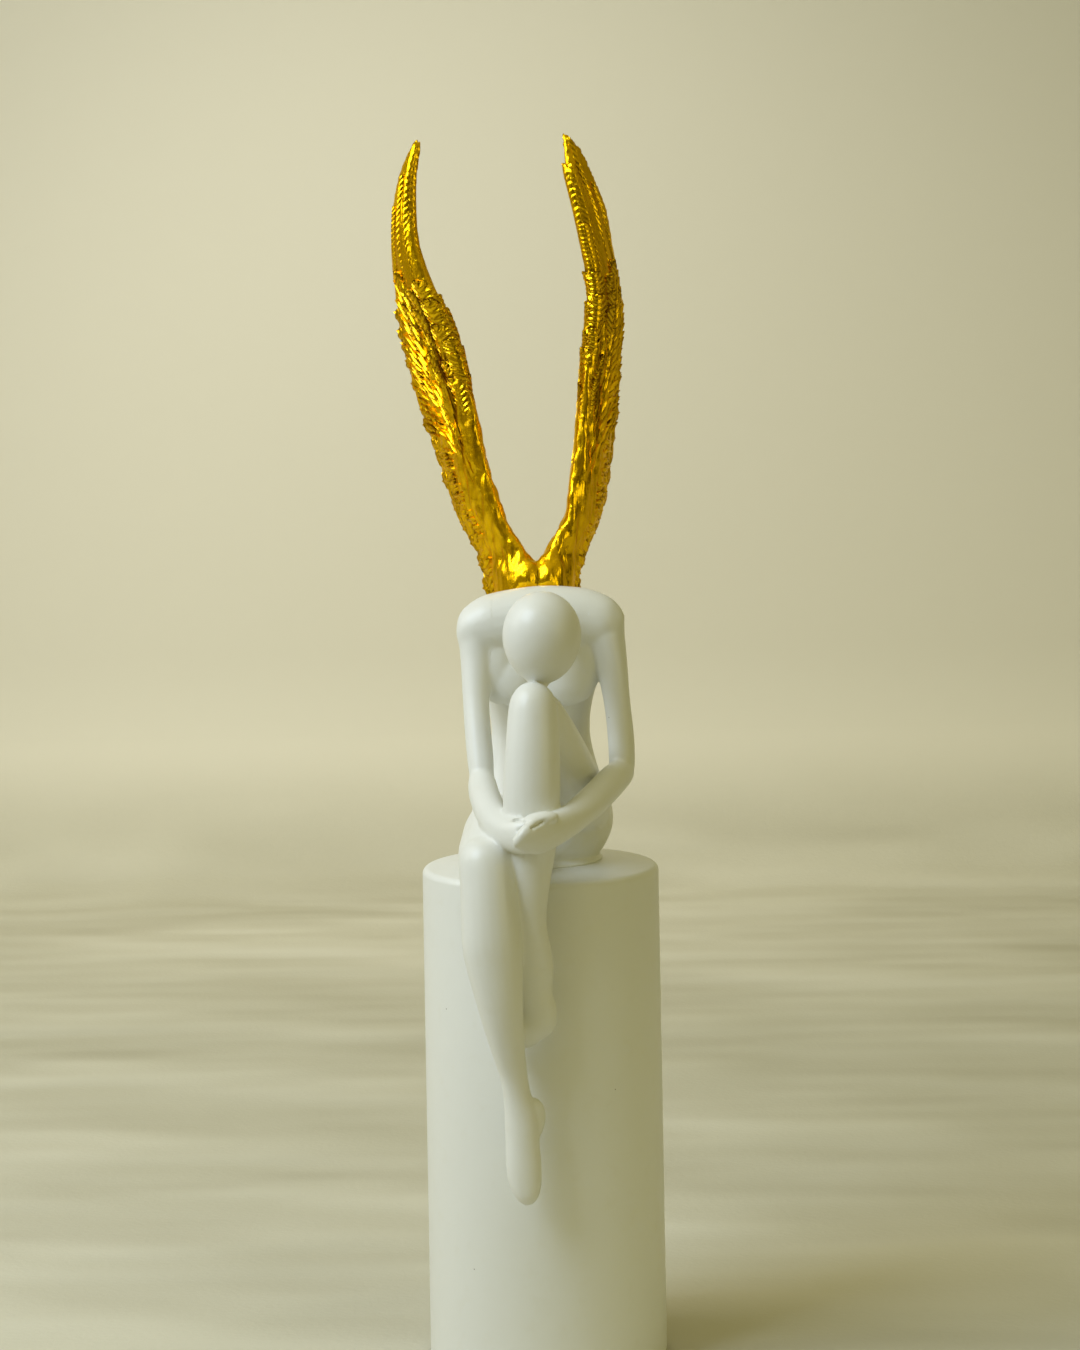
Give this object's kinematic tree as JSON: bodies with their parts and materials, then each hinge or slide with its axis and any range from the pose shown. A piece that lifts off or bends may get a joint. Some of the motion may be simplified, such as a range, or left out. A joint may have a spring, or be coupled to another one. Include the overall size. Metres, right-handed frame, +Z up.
{
  "type": "figure trophy",
  "caption": "Trophy of a seated faceless figure hugging one knee on a round column, with a pair of raised feathered wings that pull out of its back.",
  "frame": {"origin": "centre of the felt's underside, on the column's axis", "axes": "+Z up along the column, the figure faces -Y, +X to the figure's left"},
  "size_m": [0.0991, 0.1403, 0.4685],
  "materials": {
    "white_paint": "satin white paint over cast resin",
    "gold_plate": "bright gold plate over a feathered casting",
    "base_board": "fibreboard, sealed",
    "felt": "dark green felt",
    "iron": "as cast",
    "zinc_steel": "zinc-plated steel",
    "insert_brass": "turned brass"
  },
  "bodies": {
    "trophy": {"pedestal_shell": "white_paint", "base_plate": "base_board", "base_screws": "zinc_steel", "felt_pad": "felt", "ballast_disc": "iron", "tie_rod": "zinc_steel", "rod_washers": "zinc_steel", "rod_nuts": "zinc_steel", "seat_insert": "insert_brass", "seat_dowels": "zinc_steel", "torso": "white_paint", "head": "white_paint", "neck_pin": "zinc_steel", "left_arm": "white_paint", "right_arm": "white_paint", "shoulder_pins": "zinc_steel", "raised_leg": "white_paint", "hanging_leg": "white_paint", "hip_pins": "zinc_steel", "wing_sockets": "insert_brass"},
    "left_wing_unit": {"left_wing": "gold_plate", "left_wing_pins": "zinc_steel"},
    "right_wing_unit": {"right_wing": "gold_plate", "right_wing_pins": "zinc_steel"}
  },
  "joints": [
    {"name": "left_wing_pull", "type": "slide", "parent": "trophy", "child": "left_wing_unit", "axis": [0, 0.9397, 0.342], "range_m": [0, 0.016]},
    {"name": "right_wing_pull", "type": "slide", "parent": "trophy", "child": "right_wing_unit", "axis": [0, 0.9397, 0.342], "range_m": [0, 0.016]}
  ]
}
